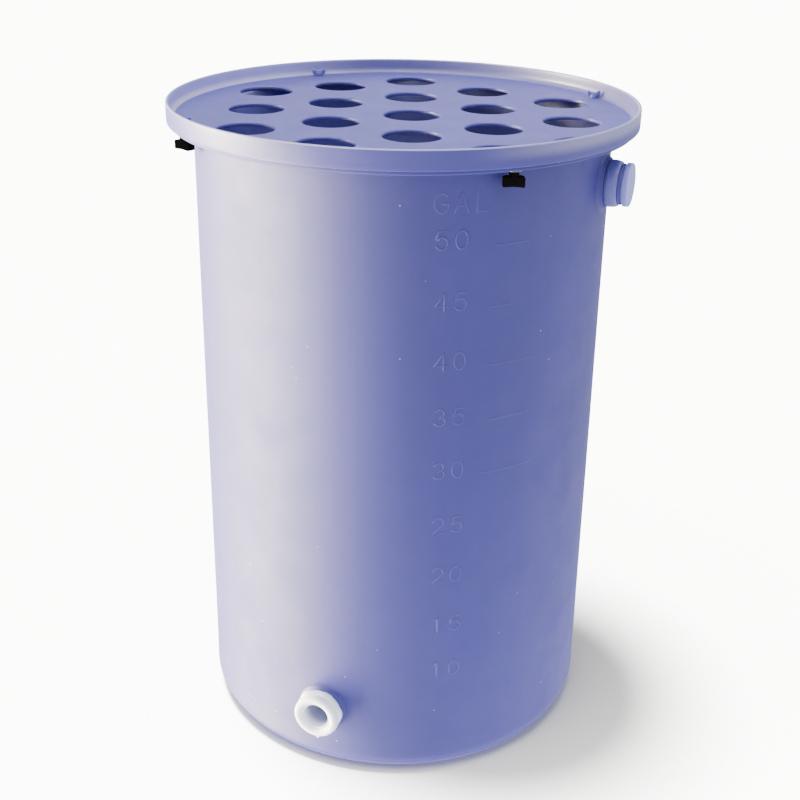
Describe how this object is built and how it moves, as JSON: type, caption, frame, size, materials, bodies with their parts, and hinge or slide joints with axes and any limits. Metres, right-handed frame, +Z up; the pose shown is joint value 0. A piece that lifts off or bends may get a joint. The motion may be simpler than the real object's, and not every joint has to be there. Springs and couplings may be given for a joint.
{
  "type": "brewing tank",
  "caption": "Tall open-top cylindrical plastic tank with a perforated tray lid bolted to its flange, a low drain fitting and a plugged high overflow.",
  "frame": {"origin": "middle of the tank's flat underside", "axes": "+Z up along the tank, -Y out of the drain, +X out of the overflow"},
  "size_m": [0.6359, 0.6358, 0.9123],
  "materials": {
    "blue_polyethylene": "translucent rotomoulded polyethylene, satin",
    "blue_polyethylene_lid": "translucent moulded polyethylene, satin",
    "blue_fitting_plastic": "moulded, satin",
    "white_plastic": "moulded, semi-gloss",
    "black_plastic": "moulded nylon, satin",
    "stainless_steel": "bright",
    "gasket_rubber": "matte"
  },
  "bodies": {
    "tank": {"tank_body": "blue_polyethylene", "tank_floor": "blue_polyethylene", "tank_flange": "blue_polyethylene", "drain_fitting": "white_plastic", "drain_gasket": "gasket_rubber", "drain_lock_nut": "white_plastic", "overflow_fitting": "blue_fitting_plastic", "overflow_gasket": "gasket_rubber", "overflow_lock_nut": "blue_fitting_plastic"},
    "lid": {"lid_tray": "blue_polyethylene_lid", "lid_rim": "blue_polyethylene_lid", "lid_bolt_1": "blue_fitting_plastic", "lid_bolt_2": "blue_fitting_plastic", "lid_bolt_3": "blue_fitting_plastic", "lid_bolt_4": "blue_fitting_plastic"},
    "washer_1": {"washer_1": "stainless_steel"},
    "wing_nut_1": {"wing_nut_1": "black_plastic"},
    "washer_2": {"washer_2": "stainless_steel"},
    "wing_nut_2": {"wing_nut_2": "black_plastic"},
    "washer_3": {"washer_3": "stainless_steel"},
    "wing_nut_3": {"wing_nut_3": "black_plastic"},
    "washer_4": {"washer_4": "stainless_steel"},
    "wing_nut_4": {"wing_nut_4": "black_plastic"},
    "plug_seal": {"overflow_plug_seal": "gasket_rubber"},
    "plug": {"overflow_plug": "blue_fitting_plastic"}
  },
  "joints": [
    {"name": "lid_lift_off", "type": "slide", "parent": "tank", "child": "lid", "axis": [0, 0, 1], "range_m": [0, 0.25]},
    {"name": "washer_1_drop", "type": "slide", "parent": "tank", "child": "washer_1", "axis": [0, 0, -1], "range_m": [0, 0.0076]},
    {"name": "wing_nut_1_turn", "type": "hinge", "parent": "washer_1", "child": "wing_nut_1", "pos_m": [0.21284, 0.21284, 0.8789], "axis": [0, 0, -1], "range_deg": [0, 2160]},
    {"name": "washer_2_drop", "type": "slide", "parent": "tank", "child": "washer_2", "axis": [0, 0, -1], "range_m": [0, 0.0076]},
    {"name": "wing_nut_2_turn", "type": "hinge", "parent": "washer_2", "child": "wing_nut_2", "pos_m": [-0.22014, 0.20528, 0.8789], "axis": [0, 0, -1], "range_deg": [0, 2160]},
    {"name": "washer_3_drop", "type": "slide", "parent": "tank", "child": "washer_3", "axis": [0, 0, -1], "range_m": [0, 0.0076]},
    {"name": "wing_nut_3_turn", "type": "hinge", "parent": "washer_3", "child": "wing_nut_3", "pos_m": [-0.22369, -0.20141, 0.8789], "axis": [0, 0, -1], "range_deg": [0, 2160]},
    {"name": "washer_4_drop", "type": "slide", "parent": "tank", "child": "washer_4", "axis": [0, 0, -1], "range_m": [0, 0.0076]},
    {"name": "wing_nut_4_turn", "type": "hinge", "parent": "washer_4", "child": "wing_nut_4", "pos_m": [0.21834, -0.20719, 0.8789], "axis": [0, 0, -1], "range_deg": [0, 2160]},
    {"name": "plug_seal_out", "type": "slide", "parent": "tank", "child": "plug_seal", "axis": [1, 0, 0], "range_m": [0, 0.01114]},
    {"name": "plug_turn", "type": "hinge", "parent": "plug_seal", "child": "plug", "pos_m": [0.3106, 0, 0.824], "axis": [1, 0, 0], "range_deg": [0, 1800]}
  ],
  "couplings": [
    {"joint": "washer_1_drop", "follows": "wing_nut_1_turn", "m_per_rad": 0.00019894},
    {"joint": "washer_2_drop", "follows": "wing_nut_2_turn", "m_per_rad": 0.00019894},
    {"joint": "washer_3_drop", "follows": "wing_nut_3_turn", "m_per_rad": 0.00019894},
    {"joint": "washer_4_drop", "follows": "wing_nut_4_turn", "m_per_rad": 0.00019894},
    {"joint": "plug_seal_out", "follows": "plug_turn", "m_per_rad": 0.00035153}
  ]
}
